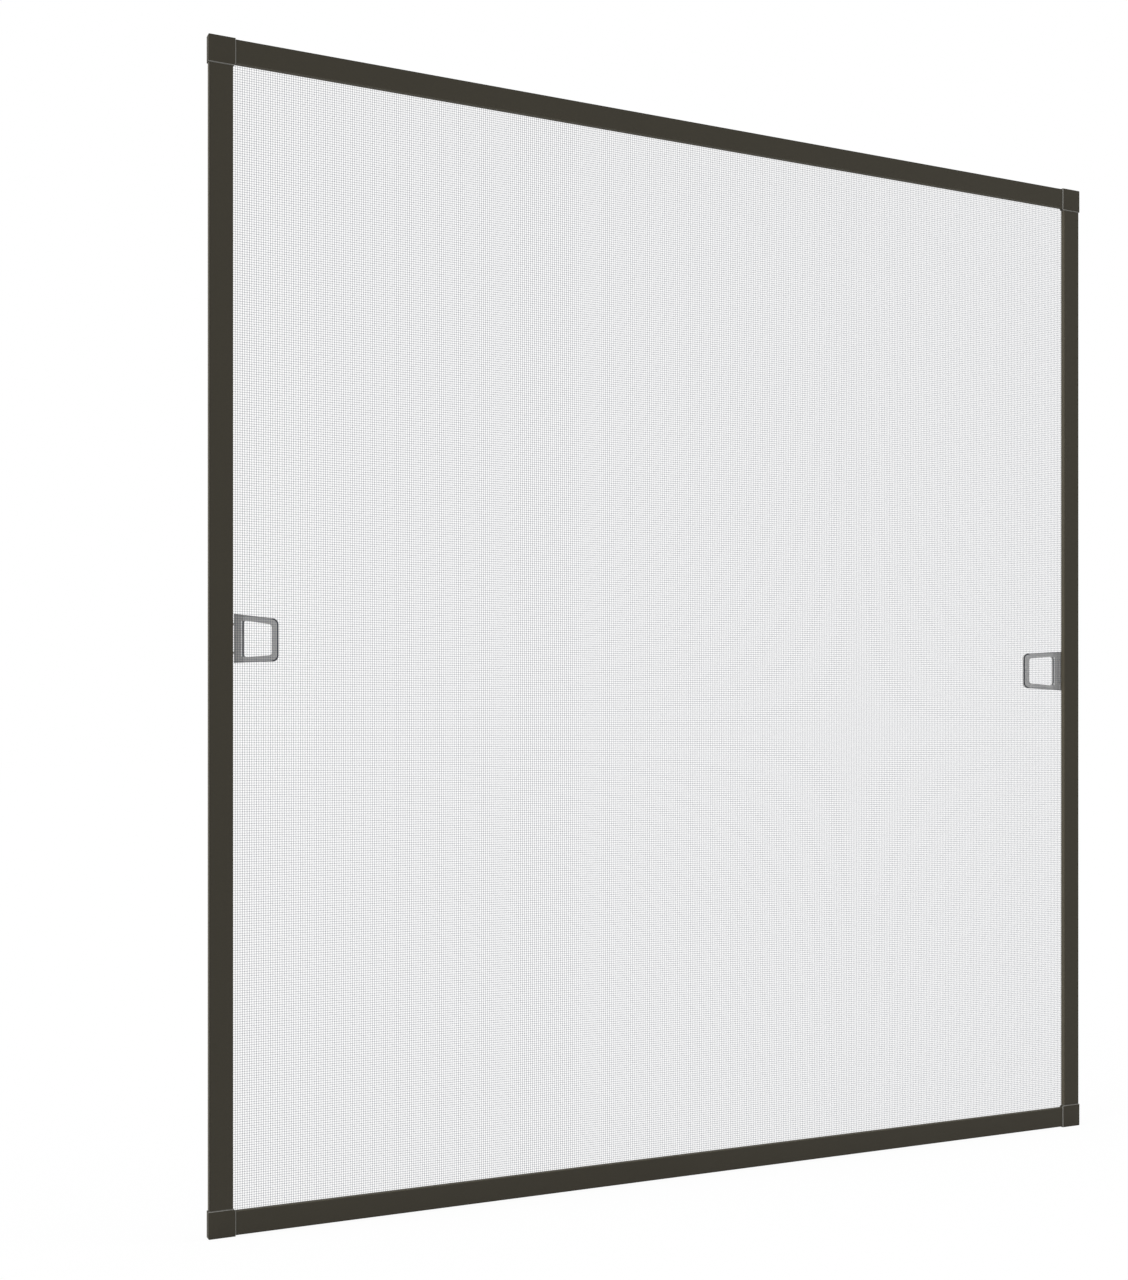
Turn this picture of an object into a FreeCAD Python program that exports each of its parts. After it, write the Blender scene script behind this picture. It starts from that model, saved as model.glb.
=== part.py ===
"""Insect screen frame for a window: four extruded rails on moulded corner connectors, a cloth of
woven mesh pressed into a groove by a round cord, brush seals, pull handles and hanging brackets.

Millimetres. +X to the right, +Y from the outdoor side into the room, +Z up. The origin is at the
bottom of the frame, in the middle of its width and of its depth.
"""

import FreeCAD
import Part
import math
import os

from FreeCAD import Placement, Rotation, Vector

# Outer size, over the corner caps
FRAME_WIDTH = 1400.0
FRAME_HEIGHT = 1500.0

# Cloth of woven mesh, drawn as coarse bands that pass over and under each other
CLOTH_THICKNESS = 0.4
BAND_WIDTH = 4.0
GAP_COLUMNS = 10
GAP_ROWS = 12
CROWN_HEIGHT = 0.2
CROWN_LENGTH = 40.0

# Round cord that holds the cloth in its groove
CORD_DIAMETER = 4.0
CORD_BORE = 1.6
SLIP = 0.05

# Section of the extruded rail
RAIL_FACE = 30.0
WALL = 1.2
LIP_WIDTH = 3.0
CORD_COVER = 1.3
CLOTH_SETBACK = 2.2
NIB_REACH = 0.5
EDGE_CHAMFER = 0.6

# Slot for the brush seal, open at the back of the rail
SLOT_INSET = 2.2
SLOT_WIDTH = 5.0
SLOT_MOUTH = 3.4
SLOT_LIP = 0.8
SLOT_CAVITY = 1.2

# Brush seal
BRUSH_CLEARANCE = 0.1
PILE_WIDTH = 2.6
PILE_TIP_WIDTH = 3.0
PILE_REACH = 4.5

# Moulded corner connector
CAP_PROUD = 1.3
CAP_FRONT = 0.8
CAP_OVERLAP = 3.0
CAP_CHAMFER = 0.5
CAP_RADIUS = 1.5
CAP_MITRE = 2.5
CAP_SKIN = 2.4
SEAM = 0.2
LEG_LENGTH = 36.0
LEG_CLEARANCE = 0.1
LEG_WALL = 1.6
TOOTH_HEIGHT = 0.6
TOOTH_COUNT = 3

# Pull handle
HANDLE_REACH = 63.6
HANDLE_ROOT_HEIGHT = 62.0
HANDLE_TIP_HEIGHT = 54.5
HANDLE_PLATE = 1.6
HANDLE_BEND = 8.0
HANDLE_LEAN = 14.5
HANDLE_STRIP = 15.8
HANDLE_ROOT_BAR = 6.8
HANDLE_TIP_BAR = 8.2
HANDLE_GRIP_BAR = 9.4
HANDLE_TIP_RADIUS = 8.0
HANDLE_OPENING_RADIUS = 4.0
HANDLE_RIM_WIDTH = 2.5
HANDLE_RIM_HEIGHT = 0.5
HANDLE_FLANGE_DEPTH = 0.6
TOE_THICKNESS = 1.0
TOE_SHOULDER = 1.3
FLEX_SLOT_WIDTH = 1.6
FLEX_WEB_HEIGHT = 2.6
FLEX_WEB_SPACING = 36.0
HANDLE_DROP = 1.0
RIGHT_HANDLE_DROP = 20.0

# Hanging bracket, bent from steel sheet
HANGER_FROM_CORNER = 250.0
HANGER_WIDTH = 25.0
HANGER_SHEET = 1.5
HANGER_FOOT = 11.0
HANGER_REACH = 10.0
HANGER_LIP = 6.0
HANGER_BEND = 0.8
HANGER_CORNER = 2.0

# Thread-cutting screw with a flat round head
SCREW_SPACING = 13.0
SCREW_CORE = 2.4
SCREW_LENGTH = 7.0
SCREW_HEAD = 5.4
SCREW_HEAD_HEIGHT = 1.9
PILOT_CLEARANCE = 0.05
HOLE_CLEARANCE = 0.4

# Section of the rail, from its outer edge inwards
GROOVE_WIDTH = CORD_DIAMETER + 2 * (CLOTH_THICKNESS + 2 * SLIP)
GROOVE_DEPTH = CORD_DIAMETER + CLOTH_THICKNESS + 2 * SLIP + CORD_COVER
GROOVE_INNER = RAIL_FACE - LIP_WIDTH
GROOVE_OUTER = GROOVE_INNER - GROOVE_WIDTH
CHAMBER_END = GROOVE_OUTER - WALL
SLOT_END = SLOT_INSET + SLOT_WIDTH
SLOT_MIDDLE = SLOT_INSET + SLOT_WIDTH / 2
HOUSING_END = SLOT_END + WALL

# Section of the rail, from its front face backwards
GROOVE_FLOOR = WALL
CLOTH_SEAT = GROOVE_FLOOR + GROOVE_DEPTH
CLOTH_BACK = CLOTH_SEAT + CLOTH_THICKNESS
RAIL_BACK = CLOTH_SEAT + CLOTH_SETBACK
SLOT_ROOF = RAIL_BACK - SLOT_LIP
SLOT_FLOOR = SLOT_ROOF - SLOT_CAVITY
LEG_ROOM = SLOT_FLOOR - WALL

# Places worked out from the sizes above
CAP_SIZE = CAP_PROUD + RAIL_FACE + CAP_OVERLAP
TOE_FRONT = CLOTH_BACK + 2 * SLIP
TOE_BACK = TOE_FRONT + TOE_THICKNESS
LEAN_SLOPE = math.tan(math.radians(HANDLE_LEAN))
PLATE_DEPTH = HANDLE_PLATE / math.cos(math.radians(HANDLE_LEAN))
HANDLE_SWING = (HANDLE_REACH - HANDLE_BEND) * LEAN_SLOPE
HANDLE_BACK = TOE_FRONT + HANDLE_SWING + PLATE_DEPTH + HANDLE_FLANGE_DEPTH
HANGER_BACK = RAIL_BACK + HANGER_REACH + HANGER_SHEET
HANGER_LEG = HOUSING_END + 2 * SLIP
SCREW_LINE = HANGER_LEG + HANGER_SHEET + (HANGER_FOOT - HANGER_SHEET) / 2
DEPTH_CENTRE = (max(HANDLE_BACK, HANGER_BACK) - CAP_FRONT) / 2

# The four sides, each met in turn on a walk round the frame: the turn about Y that carries the
# left side there, the corner where the side starts, and its length
SIDES = {
    "left": (0.0, Vector(-FRAME_WIDTH / 2, 0, 0), FRAME_HEIGHT),
    "top": (90.0, Vector(-FRAME_WIDTH / 2, 0, FRAME_HEIGHT), FRAME_WIDTH),
    "right": (180.0, Vector(FRAME_WIDTH / 2, 0, FRAME_HEIGHT), FRAME_HEIGHT),
    "bottom": (270.0, Vector(FRAME_WIDTH / 2, 0, 0), FRAME_WIDTH),
}

# Each corner connector stands where the side named here starts
CORNERS = {
    "bottom_left": "left",
    "top_left": "top",
    "top_right": "right",
    "bottom_right": "bottom",
}


def on_side(shape, side):
    """Carry a shape from the left side's own axes (X inwards, Y backwards, Z along) to a side."""
    turn, corner, _ = SIDES[side]
    placed = shape.copy()
    placed.Placement = Placement(corner, Rotation(Vector(0, 1, 0), turn)) * shape.Placement
    return placed


def polygon(points):
    """Closed wire through points."""
    return Part.makePolygon(points + [points[0]])


def rounded_polygon(points, radii):
    """Closed wire through points, each corner rounded by its radius, or sharp where that is 0."""
    edges = []
    ends = []
    count = len(points)
    for i, (point, radius) in enumerate(zip(points, radii)):
        before = (points[i - 1] - point).normalize()
        after = (points[(i + 1) % count] - point).normalize()
        if radius == 0:
            ends.append((point, point))
            continue
        half = before.getAngle(after) / 2
        tangent = radius / math.tan(half)
        middle = point + (before + after).normalize() * (radius / math.sin(half) - radius)
        start = point + before * tangent
        end = point + after * tangent
        edges.append(Part.Arc(start, middle, end).toShape())
        ends.append((start, end))
    for i in range(count):
        edges.append(Part.LineSegment(ends[i - 1][1], ends[i][0]).toShape())
    return Part.Wire(Part.__sortEdges__(edges))


def section(outline, *holes):
    """Flat face inside an outline, less its holes."""
    return Part.makeFace([outline, *holes], "Part::FaceMakerBullseye")


def box(x, y, z):
    """Box between two limits on each axis."""
    return Part.makeBox(x[1] - x[0], y[1] - y[0], z[1] - z[0], Vector(x[0], y[0], z[0]))


def slot_outline(u):
    """Outline of the brush slot, with its outer wall's inside at u."""
    mouth = (SLOT_WIDTH - SLOT_MOUTH) / 2
    return [
        Vector(u + mouth, RAIL_BACK, 0),
        Vector(u + mouth, SLOT_ROOF, 0),
        Vector(u, SLOT_ROOF, 0),
        Vector(u, SLOT_FLOOR, 0),
        Vector(u + SLOT_WIDTH, SLOT_FLOOR, 0),
        Vector(u + SLOT_WIDTH, SLOT_ROOF, 0),
        Vector(u + SLOT_WIDTH - mouth, SLOT_ROOF, 0),
        Vector(u + SLOT_WIDTH - mouth, RAIL_BACK, 0),
    ]


def rail_section():
    """Hollow section of the rail: front face, brush slot, chambers, cord groove and cloth lip."""
    nib_middle = (TOE_BACK + 2 * SLIP + RAIL_BACK) / 2
    outline = [
        Vector(EDGE_CHAMFER, 0, 0),
        Vector(0, EDGE_CHAMFER, 0),
        Vector(0, RAIL_BACK, 0),
        *slot_outline(SLOT_INSET),
        Vector(GROOVE_OUTER, RAIL_BACK, 0),
        Vector(GROOVE_OUTER + NIB_REACH, nib_middle, 0),
        Vector(GROOVE_OUTER, TOE_BACK + 2 * SLIP, 0),
        Vector(GROOVE_OUTER, GROOVE_FLOOR, 0),
        Vector(GROOVE_INNER, GROOVE_FLOOR, 0),
        Vector(GROOVE_INNER, CLOTH_SEAT, 0),
        Vector(RAIL_FACE, CLOTH_SEAT, 0),
        Vector(RAIL_FACE, EDGE_CHAMFER, 0),
        Vector(RAIL_FACE - EDGE_CHAMFER, 0, 0),
    ]
    chamber = [
        Vector(WALL, WALL, 0),
        Vector(CHAMBER_END, WALL, 0),
        Vector(CHAMBER_END, RAIL_BACK - WALL, 0),
        Vector(HOUSING_END, RAIL_BACK - WALL, 0),
        Vector(HOUSING_END, LEG_ROOM, 0),
        Vector(WALL, LEG_ROOM, 0),
    ]
    return section(polygon(outline), polygon(chamber))


def hanger_centres(side):
    """Places of the hanging brackets along a side: two on the top and bottom, none elsewhere."""
    length = SIDES[side][2]
    if side in ("top", "bottom"):
        return [HANGER_FROM_CORNER, length - HANGER_FROM_CORNER]
    return []


def screw_places(side):
    """Axis points of a side's bracket screws, on the back of its rail."""
    return [
        Vector(CAP_PROUD + SCREW_LINE, RAIL_BACK, centre + sign * SCREW_SPACING / 2)
        for centre in hanger_centres(side)
        for sign in (-1, 1)
    ]


def rail(side):
    """One extruded rail, cut to stand between two corner caps and drilled for its screws."""
    start = CAP_SIZE + SEAM
    length = SIDES[side][2] - 2 * start
    body = rail_section().extrude(Vector(0, 0, length))
    body.translate(Vector(CAP_PROUD, 0, start))
    radius = SCREW_CORE / 2 + PILOT_CLEARANCE
    for place in screw_places(side):
        pilot = Part.makeCylinder(radius, 2 * WALL, place - Vector(0, 2 * WALL, 0), Vector(0, 1, 0))
        body = body.cut(pilot)
    return on_side(body, side)


def leg():
    """Barbed leg that plugs into a rail's chamber, from the connector's shoulder along Z."""
    low = CAP_PROUD + WALL + LEG_CLEARANCE
    high = CAP_PROUD + CHAMBER_END - LEG_CLEARANCE
    front = WALL + LEG_CLEARANCE
    back = LEG_ROOM - LEG_CLEARANCE
    root = CAP_SIZE - LEG_WALL
    pitch = LEG_LENGTH / (TOOTH_COUNT + 1)
    saw = []
    for i in range(TOOTH_COUNT):
        foot = CAP_SIZE + SEAM + i * pitch
        saw += [(0.0, foot), (TOOTH_HEIGHT, foot + pitch)]
    tip = CAP_SIZE + LEG_LENGTH
    nose = 2 * LEG_WALL
    left = [Vector(low + step, front, z) for step, z in saw]
    right = [Vector(high - step, front, z) for step, z in reversed(saw)]
    outline = [
        Vector(low + TOOTH_HEIGHT, front, root),
        Vector(low + TOOTH_HEIGHT, front, CAP_SIZE + SEAM),
        *left,
        Vector(low + nose, front, tip),
        Vector(high - nose, front, tip),
        *right,
        Vector(high - TOOTH_HEIGHT, front, CAP_SIZE + SEAM),
        Vector(high - TOOTH_HEIGHT, front, root),
    ]
    body = section(polygon(outline)).extrude(Vector(0, back - front, 0))
    inset = TOOTH_HEIGHT + LEG_WALL
    span = (tip - nose - CAP_SIZE - 2 * LEG_WALL) / 2
    for i in range(2):
        start = CAP_SIZE + LEG_WALL + i * (span + LEG_WALL)
        pocket = box((low + inset, high - inset), (front + LEG_WALL, back), (start, start + span))
        body = body.cut(pocket)
    return body


def connector():
    """Moulded corner: a proud square cap, the grooves and slots carried round, and two legs."""
    size = (0, CAP_SIZE)
    block = box(size, (-CAP_FRONT, RAIL_BACK), size)
    corner_edge = [e for e in block.Edges if all(v.X == 0 and v.Z == 0 for v in e.Vertexes)]
    block = block.makeFillet(CAP_RADIUS, corner_edge)
    inner_edge = [e for e in block.Edges if all(v.X == v.Z == CAP_SIZE for v in e.Vertexes)]
    block = block.makeChamfer(CAP_MITRE, inner_edge)
    front_edges = [e for e in block.Edges if all(v.Y == -CAP_FRONT for v in e.Vertexes)]
    block = block.makeChamfer(CAP_CHAMFER, front_edges)

    inner = CAP_PROUD + GROOVE_INNER
    outer = CAP_PROUD + GROOVE_OUTER
    past = CAP_SIZE + SEAM
    tools = [
        box((outer, inner), (GROOVE_FLOOR, RAIL_BACK), (outer, past)),
        box((outer, past), (GROOVE_FLOOR, RAIL_BACK), (outer, inner)),
        box((inner, past), (CLOTH_SEAT, RAIL_BACK), (inner, past)),
    ]
    slot = CAP_PROUD + SLOT_INSET
    run = section(polygon(slot_outline(slot))).extrude(Vector(0, 0, past - slot))
    run.translate(Vector(0, 0, slot))
    tools += [run, across(run)]

    near = CAP_PROUD + HOUSING_END
    far = CAP_PROUD + CHAMBER_END
    arm = (far + LEG_WALL, CAP_SIZE - LEG_WALL)
    deep = (CAP_SKIN, RAIL_BACK)
    for x, z in (((near, far), (near, far)), ((near, far), arm), (arm, (near, far))):
        tools.append(box(x, deep, z))
    block = block.cut(Part.makeCompound(tools))
    single = leg()
    return block.multiFuse([single, across(single)]).removeSplitter()


def across(shape):
    """Swap a corner shape's two arms, X for Z, by mirroring it in the diagonal plane."""
    return shape.mirror(Vector(0, 0, 0), Vector(1, 0, -1).normalize())


def ring(outer, inner, front, back):
    """Rectangular ring round the frame between two insets from its outer edge."""
    wires = []
    for inset in (outer, inner):
        half = FRAME_WIDTH / 2 - inset
        top = FRAME_HEIGHT - inset
        corners = [(-half, inset), (half, inset), (half, top), (-half, top)]
        wires.append(polygon([Vector(x, front, z) for x, z in corners]))
    return section(*wires).extrude(Vector(0, back - front, 0))


def cloth():
    """The cloth: one thin wall of crossing bands, its hem folded into the groove all round."""
    hem_inner = CAP_PROUD + GROOVE_INNER - SLIP
    hem_outer = CAP_PROUD + GROOVE_OUTER + SLIP
    fold = hem_inner - CLOTH_THICKNESS
    floor = GROOVE_FLOOR + SLIP
    border = CAP_PROUD + RAIL_FACE + BAND_WIDTH
    pitch_x = (FRAME_WIDTH - 2 * border + BAND_WIDTH) / GAP_COLUMNS
    pitch_z = (FRAME_HEIGHT - 2 * border + BAND_WIDTH) / GAP_ROWS
    left = border - FRAME_WIDTH / 2

    half = FRAME_WIDTH / 2 - fold
    top = FRAME_HEIGHT - fold
    corners = [(-half, fold), (half, fold), (half, top), (-half, top)]
    outline = polygon([Vector(x, CLOTH_SEAT, z) for x, z in corners])
    gaps = []
    for column in range(GAP_COLUMNS):
        for row in range(GAP_ROWS):
            x0 = left + column * pitch_x
            z0 = border + row * pitch_z
            x1 = x0 + pitch_x - BAND_WIDTH
            z1 = z0 + pitch_z - BAND_WIDTH
            sides = [(x0, z0), (x1, z0), (x1, z1), (x0, z1)]
            gaps.append(polygon([Vector(x, CLOTH_SEAT, z) for x, z in sides]))
    wall = section(outline, *gaps).extrude(Vector(0, CLOTH_THICKNESS, 0))

    crowns = []
    raised = (CLOTH_SEAT - CROWN_HEIGHT, CLOTH_SEAT)
    for column in range(1, GAP_COLUMNS):
        for row in range(1, GAP_ROWS):
            x = left + column * pitch_x - BAND_WIDTH / 2
            z = border + row * pitch_z - BAND_WIDTH / 2
            upright = (column + row) % 2 == 0
            reach_x = BAND_WIDTH / 2 if upright else CROWN_LENGTH / 2
            reach_z = CROWN_LENGTH / 2 if upright else BAND_WIDTH / 2
            crowns.append(box((x - reach_x, x + reach_x), raised, (z - reach_z, z + reach_z)))

    hem = [
        ring(fold, hem_inner, floor, CLOTH_SEAT),
        ring(hem_outer, fold, floor, floor + CLOTH_THICKNESS),
        ring(hem_outer, hem_outer + CLOTH_THICKNESS, floor, CLOTH_SEAT),
    ]
    return wall.multiFuse(crowns + hem)


def cord(side):
    """Length of round cord in a side's groove; the upright ones run past the level ones."""
    lining = CLOTH_THICKNESS + 2 * SLIP
    middle = GROOVE_OUTER + GROOVE_WIDTH / 2
    end = CAP_PROUD + GROOVE_OUTER + lining
    if side in ("top", "bottom"):
        end = CAP_PROUD + middle + CORD_DIAMETER / 2 + 2 * SLIP
    length = SIDES[side][2] - 2 * end
    axis_start = Vector(CAP_PROUD + middle, GROOVE_FLOOR + lining + CORD_DIAMETER / 2, end)
    body = Part.makeCylinder(CORD_DIAMETER / 2, length, axis_start)
    return on_side(body.cut(Part.makeCylinder(CORD_BORE / 2, length, axis_start)), side)


def brush(side):
    """Brush seal: a backing strip held in the slot, and its pile standing out of the mouth."""
    low = SLOT_INSET + BRUSH_CLEARANCE
    high = SLOT_END - BRUSH_CLEARANCE
    floor = SLOT_FLOOR + BRUSH_CLEARANCE
    roof = SLOT_ROOF - BRUSH_CLEARANCE
    tips = RAIL_BACK + PILE_REACH
    outline = [
        Vector(low, floor, 0),
        Vector(high, floor, 0),
        Vector(high, roof, 0),
        Vector(SLOT_MIDDLE + PILE_WIDTH / 2, roof, 0),
        Vector(SLOT_MIDDLE + PILE_WIDTH / 2, RAIL_BACK, 0),
        Vector(SLOT_MIDDLE + PILE_TIP_WIDTH / 2, tips, 0),
        Vector(SLOT_MIDDLE - PILE_TIP_WIDTH / 2, tips, 0),
        Vector(SLOT_MIDDLE - PILE_WIDTH / 2, RAIL_BACK, 0),
        Vector(SLOT_MIDDLE - PILE_WIDTH / 2, roof, 0),
        Vector(low, roof, 0),
    ]
    start = CAP_PROUD + (SLOT_INSET if side in ("left", "right") else SLOT_END) + BRUSH_CLEARANCE
    body = section(polygon(outline)).extrude(Vector(0, 0, SIDES[side][2] - 2 * start))
    body.translate(Vector(CAP_PROUD, 0, start))
    return on_side(body, side)


def handle(side, centre):
    """Pull handle: a toe under the groove's nib, two webs, and a tapered loop that leans back."""
    toe = CAP_PROUD + GROOVE_OUTER + 2 * SLIP
    edge = CAP_PROUD + RAIL_FACE
    bend = edge + HANDLE_BEND
    tip = edge + HANDLE_REACH

    def front_at(u):
        return TOE_FRONT + (u - bend) * LEAN_SLOPE

    back_of_tip = front_at(tip) + PLATE_DEPTH
    flange = tip - HANDLE_RIM_WIDTH
    side_view = [
        Vector(toe, TOE_FRONT, 0),
        Vector(bend, TOE_FRONT, 0),
        Vector(tip, front_at(tip), 0),
        Vector(tip, back_of_tip + HANDLE_FLANGE_DEPTH, 0),
        Vector(flange, back_of_tip + HANDLE_FLANGE_DEPTH, 0),
        Vector(flange, front_at(flange) + PLATE_DEPTH, 0),
        Vector(bend, TOE_FRONT + PLATE_DEPTH, 0),
        Vector(edge, TOE_FRONT + PLATE_DEPTH, 0),
        Vector(edge - LIP_WIDTH, TOE_BACK, 0),
        Vector(toe, TOE_BACK, 0),
    ]
    root = HANDLE_ROOT_HEIGHT / 2
    bent = section(polygon(side_view)).extrude(Vector(0, 0, 2 * root))
    bent.translate(Vector(0, 0, -root))

    end = HANDLE_TIP_HEIGHT / 2
    taper = (root - end) / HANDLE_REACH
    outline = [
        Vector(toe, 0, -root),
        Vector(edge, 0, -root),
        Vector(tip, 0, -end),
        Vector(tip, 0, end),
        Vector(edge, 0, root),
        Vector(toe, 0, root),
    ]
    radii = [0, 0, HANDLE_TIP_RADIUS, HANDLE_TIP_RADIUS, 0, 0]
    through = Vector(0, 2 * HANDLE_BACK, 0)
    body = bent.common(section(rounded_polygon(outline, radii)).extrude(through))

    near = edge + HANDLE_STRIP
    far = tip - HANDLE_GRIP_BAR
    near_half = root - HANDLE_STRIP * taper - HANDLE_ROOT_BAR
    far_half = root - (far - edge) * taper - HANDLE_TIP_BAR
    opening = [
        Vector(near, 0, -near_half),
        Vector(far, 0, -far_half),
        Vector(far, 0, far_half),
        Vector(near, 0, near_half),
    ]
    window = section(rounded_polygon(opening, [HANDLE_OPENING_RADIUS] * 4)).extrude(through)
    body = body.cut(window)

    flex = (edge + TOE_SHOULDER, edge + TOE_SHOULDER + FLEX_SLOT_WIDTH)
    web = (FLEX_WEB_SPACING - FLEX_WEB_HEIGHT) / 2
    past_web = web + FLEX_WEB_HEIGHT
    for span in ((-root, -past_web), (-web, web), (past_web, root)):
        body = body.cut(box(flex, (0, HANDLE_BACK), span))

    rim_view = [
        Vector(near - HANDLE_RIM_WIDTH, front_at(near - HANDLE_RIM_WIDTH) + SLIP, 0),
        Vector(near - HANDLE_RIM_WIDTH, front_at(near - HANDLE_RIM_WIDTH) - HANDLE_RIM_HEIGHT, 0),
        Vector(near, front_at(near) - HANDLE_RIM_HEIGHT, 0),
        Vector(near, front_at(near) + SLIP, 0),
    ]
    rim_half = near_half - HANDLE_OPENING_RADIUS
    rim = section(polygon(rim_view)).extrude(Vector(0, 0, 2 * rim_half))
    rim.translate(Vector(0, 0, -rim_half))
    body = body.fuse(rim).removeSplitter()
    body.translate(Vector(0, 0, centre))
    return on_side(body, side)


def hanger(side, centre):
    """Hanging bracket: a foot on the rail's back, a leg, and a lip turned out behind the sash."""
    leg_out = CAP_PROUD + HANGER_LEG
    leg_in = leg_out + HANGER_SHEET
    lip_end = leg_in - HANGER_SHEET - HANGER_LIP
    foot_end = leg_out + HANGER_FOOT
    lip_front = RAIL_BACK + HANGER_REACH
    foot_back = RAIL_BACK + HANGER_SHEET
    outline = [
        Vector(leg_out, RAIL_BACK, 0),
        Vector(foot_end, RAIL_BACK, 0),
        Vector(foot_end, foot_back, 0),
        Vector(leg_in, foot_back, 0),
        Vector(leg_in, HANGER_BACK, 0),
        Vector(lip_end, HANGER_BACK, 0),
        Vector(lip_end, lip_front, 0),
        Vector(leg_out, lip_front, 0),
    ]
    outer_bend = HANGER_BEND + HANGER_SHEET
    radii = [outer_bend, 0, 0, HANGER_BEND, outer_bend, 0, 0, HANGER_BEND]
    body = section(rounded_polygon(outline, radii)).extrude(Vector(0, 0, HANGER_WIDTH))
    body.translate(Vector(0, 0, centre - HANGER_WIDTH / 2))
    ends = [
        e
        for e in body.Edges
        if all(abs(v.X - foot_end) < SLIP for v in e.Vertexes) and abs(e.Length - HANGER_SHEET) < SLIP
    ]
    body = body.makeChamfer(HANGER_CORNER, ends)
    radius = (SCREW_CORE + HOLE_CLEARANCE) / 2
    for sign in (-1, 1):
        place = Vector(CAP_PROUD + SCREW_LINE, RAIL_BACK, centre + sign * SCREW_SPACING / 2)
        body = body.cut(Part.makeCylinder(radius, HANGER_SHEET, place, Vector(0, 1, 0)))
    return on_side(body, side)


def screw():
    """Blunt thread-cutting screw about the Y axis, its head's seat on y = 0 and its end forward."""
    forward = Vector(0, -1, 0)
    shank = Part.makeCylinder(SCREW_CORE / 2, SCREW_LENGTH, Vector(0, 0, 0), forward)
    head = Part.makeCylinder(SCREW_HEAD / 2, SCREW_HEAD_HEIGHT, Vector(0, 0, 0), Vector(0, 1, 0))
    return head.fuse(shank)


def screws():
    """All bracket screws, each with its head on a bracket's foot."""
    placed = []
    for side in ("top", "bottom"):
        for place in screw_places(side):
            one = screw()
            one.translate(place + Vector(0, HANGER_SHEET, 0))
            placed.append(on_side(Part.makeCompound([one]), side))
    return Part.makeCompound(placed)


def pieces():
    """Every piece of the frame by name."""
    named = {}
    moulding = connector()
    for side in SIDES:
        named[f"rail_{side}"] = rail(side)
        named[f"cord_{side}"] = cord(side)
        named[f"brush_seal_{side}"] = brush(side)
    for corner, side in CORNERS.items():
        named[f"corner_{corner}"] = on_side(moulding, side)
    named["insect_mesh"] = cloth()
    middle = FRAME_HEIGHT / 2
    named["handle_left"] = handle("left", middle - HANDLE_DROP)
    named["handle_right"] = handle("right", middle + HANDLE_DROP + RIGHT_HANDLE_DROP)
    hands = {"top": ("left", "right"), "bottom": ("right", "left")}
    for side, names in hands.items():
        for name, centre in zip(names, hanger_centres(side)):
            named[f"hanger_{side}_{name}"] = hanger(side, centre)
    named["hanger_screws"] = screws()
    return named


def main():
    os.makedirs("parts", exist_ok=True)
    for name, shape in pieces().items():
        shape.translate(Vector(0, -DEPTH_CENTRE, 0))
        shape.exportStep(f"parts/{name}.step")


main()
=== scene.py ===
"""Finishes the window screen frame: coated rails, moulded corners, woven cloth, ribbed cords, brush
seals, pull handles, hanging brackets and their screws, on a plain pale stage."""

import math

import bmesh
import bpy
from bpy.props import FloatProperty, FloatVectorProperty, IntProperty, PointerProperty
from mathutils import Matrix, Vector


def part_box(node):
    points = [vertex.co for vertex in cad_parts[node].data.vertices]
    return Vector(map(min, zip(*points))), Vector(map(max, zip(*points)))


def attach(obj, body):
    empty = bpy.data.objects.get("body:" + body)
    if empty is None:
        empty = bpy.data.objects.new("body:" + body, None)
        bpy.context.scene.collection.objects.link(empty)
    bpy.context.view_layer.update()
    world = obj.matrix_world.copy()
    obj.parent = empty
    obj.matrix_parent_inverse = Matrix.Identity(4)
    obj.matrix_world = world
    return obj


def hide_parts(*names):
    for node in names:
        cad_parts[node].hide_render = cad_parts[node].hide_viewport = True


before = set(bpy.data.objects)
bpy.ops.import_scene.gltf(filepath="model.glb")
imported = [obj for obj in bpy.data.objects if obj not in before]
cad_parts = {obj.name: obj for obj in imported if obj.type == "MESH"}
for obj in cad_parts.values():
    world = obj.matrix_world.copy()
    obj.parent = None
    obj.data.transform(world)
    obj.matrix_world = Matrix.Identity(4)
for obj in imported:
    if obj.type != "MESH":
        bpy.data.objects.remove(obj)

bl_info = {
    "name": "Window Screen Frame",
    "version": (1, 0, 0),
    "blender": (4, 5, 0),
    "location": "View3D > Sidebar > Screen Frame",
    "description": "Builds the finishes and fine pieces of a window screen frame around its solids",
    "category": "Add Mesh",
}

SIDES = ("left", "top", "right", "bottom")
CORNERS = ("bottom_left", "top_left", "top_right", "bottom_right")
HANDS = ("left", "right")
HANGERS = ("top_left", "top_right", "bottom_left", "bottom_right")
MM = 0.001

# The outer corners of the frame, and the planes of its depth, from the solids
FRAME_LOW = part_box("corner_bottom_left")[0]
FRAME_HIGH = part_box("corner_top_right")[1]
FRAME_MIDDLE = (FRAME_LOW + FRAME_HIGH) / 2
RAIL_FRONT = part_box("rail_left")[0].y
RAIL_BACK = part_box("rail_left")[1].y
RAIL_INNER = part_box("rail_right")[0].x
RAIL_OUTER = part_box("rail_right")[1].x
HANDLE_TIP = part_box("handle_right")[0].x

# The top rail's edges, as heights above the frame's middle
TOP_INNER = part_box("rail_top")[0].z - FRAME_MIDDLE.z
TOP_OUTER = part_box("rail_top")[1].z - FRAME_MIDDLE.z

# The way inwards from each side
INWARD = {"left": (1, 0, 0), "right": (-1, 0, 0), "top": (0, 0, -1), "bottom": (0, 0, 1)}

# How near its outer edge a rail's outer wall begins, and the fade from its face to its inner wall:
# these bound the painted light on the walls
OUTER_WALL = 0.02 * MM
WALL_FADE = (0.45 * MM, 0.65 * MM)

# How far a corner's cap reaches past the rails' inner edges, and the cut across its inner corner
CAP_OVERLAP = 3.0 * MM
CAP_MITRE = 2.5 * MM
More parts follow.
